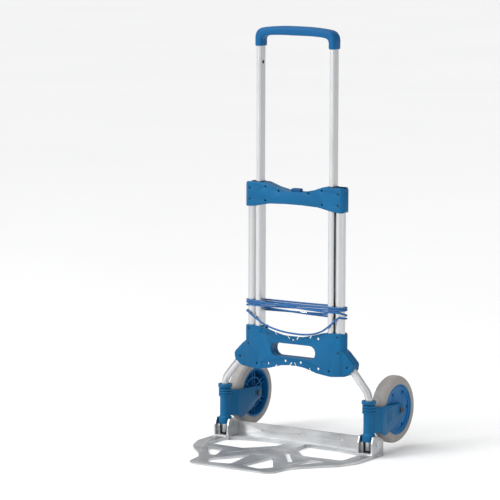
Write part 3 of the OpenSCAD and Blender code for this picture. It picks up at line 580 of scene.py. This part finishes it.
# ---------------------------------------------------------------- making the pieces
# Width of the rounding on each eased node's edges, in mm
EASED = {
    "upper_bracket_front": 0.7, "upper_bracket_rear": 0.7,
    "lower_bracket_front": 0.7, "lower_bracket_rear": 0.7, "toe_plate": 0.8,
    "wheel_fork_left": 0.7, "wheel_fork_right": 0.7, "wheel_hub_left": 0.5,
    "wheel_hub_right": 0.5, "release_button": 0.5,
}

REBUILT = ("elastic_cord", "handle_grip", "leg_tube_left", "leg_tube_right",
           "button_spring")
make_cord()
for node, carried in frame["nodes"].items():
    if node in EASED:
        eased(node, EASED[node] * MM)
    elif node not in REBUILT:
        for slot in carried.material_slots:
            slot.material = look_of(node)
make_grip()
make_leg("leg_tube_left", -1)
make_leg("leg_tube_right", 1)
make_spring()


# ---------------------------------------------------------------- stage and light
FLOOR_HALF, FLOOR_GAP = 40, 0.0003


def make_floor():
    mesh = bpy.data.meshes.new("floor")
    z = ground_z - FLOOR_GAP
    corners = [(x * FLOOR_HALF, y * FLOOR_HALF, z)
               for x, y in ((-1, -1), (1, -1), (1, 1), (-1, 1))]
    mesh.from_pydata(corners, [], [(0, 1, 2, 3)])
    floor = bpy.data.objects.new("floor", mesh)
    scene.collection.objects.link(floor)
    n = Nodes("pale_floor")
    tone = n.tint(n.spread(n.noise(0.8, detail=1), 0, 1), (0.93,) * 3, (0.95,) * 3)
    mesh.materials.append(n.finish(tone, n.spread(n.noise(20), 0.55, 0.65)))


LIGHT_TARGET = Vector((0, 0, 0.5))


def make_light(name, position, size, power):
    data = bpy.data.lights.new(name, "AREA")
    data.shape = "RECTANGLE"
    data.size, data.size_y = size
    data.energy = power
    lamp = bpy.data.objects.new(name, data)
    lamp.location = position
    aim = LIGHT_TARGET - Vector(position)
    lamp.rotation_euler = aim.to_track_quat("-Z", "Y").to_euler()
    scene.collection.objects.link(lamp)


WORLD_STRENGTH, WALL_BANDS = 0.7, 4.0


def make_world():
    """A studio: bright overhead, dimmer and uneven towards the walls."""
    world = bpy.data.worlds.new("studio")
    world.use_nodes = True
    tree = world.node_tree
    background = tree.nodes["Background"]
    coordinate = tree.nodes.new("ShaderNodeTexCoord")
    split = tree.nodes.new("ShaderNodeSeparateXYZ")
    height = tree.nodes.new("ShaderNodeValToRGB")
    height.color_ramp.elements[0].position = 0.0
    height.color_ramp.elements[0].color = (0.42, 0.43, 0.45, 1)
    height.color_ramp.elements[1].position = 0.55
    height.color_ramp.elements[1].color = (1.0, 1.0, 1.0, 1)
    turn = tree.nodes.new("ShaderNodeMath")
    turn.operation = "ARCTAN2"
    bands = tree.nodes.new("ShaderNodeMath")
    bands.operation = "MULTIPLY"
    bands.inputs[1].default_value = WALL_BANDS
    wave = tree.nodes.new("ShaderNodeMath")
    wave.operation = "SINE"
    level = tree.nodes.new("ShaderNodeMapRange")
    level.inputs["From Min"].default_value = -1
    level.inputs["To Min"].default_value = 0.45
    level.inputs["To Max"].default_value = 1.1
    product = tree.nodes.new("ShaderNodeMath")
    product.operation = "MULTIPLY"
    product.inputs[1].default_value = WORLD_STRENGTH
    for a, b in ((coordinate.outputs["Generated"], split.inputs["Vector"]),
                 (split.outputs["Z"], height.inputs["Fac"]),
                 (split.outputs["Y"], turn.inputs[0]), (split.outputs["X"], turn.inputs[1]),
                 (turn.outputs["Value"], bands.inputs[0]),
                 (bands.outputs["Value"], wave.inputs[0]),
                 (wave.outputs["Value"], level.inputs["Value"]),
                 (level.outputs["Result"], product.inputs[0]),
                 (height.outputs["Color"], background.inputs["Color"]),
                 (product.outputs["Value"], background.inputs["Strength"])):
        tree.links.new(a, b)
    scene.world = world


def make_sun(direction, angle, strength):
    """A broad overhead panel, as a sun with a wide angle in degrees."""
    data = bpy.data.lights.new("sky_panel", "SUN")
    data.energy = strength
    data.angle = math.radians(angle)
    lamp = bpy.data.objects.new("sky_panel", data)
    lamp.rotation_euler = Vector(direction).to_track_quat("-Z", "Y").to_euler()
    scene.collection.objects.link(lamp)


scene.view_settings.view_transform = "Standard"
make_floor()
make_world()
make_sun((0.35, 0.5, -1), 60, 1.9)
make_light("key", (-2.4, -3.6, 2.6), (1.4, 2.4), 90)
make_light("side", (3.6, -1.4, 1.6), (0.8, 2.4), 14)
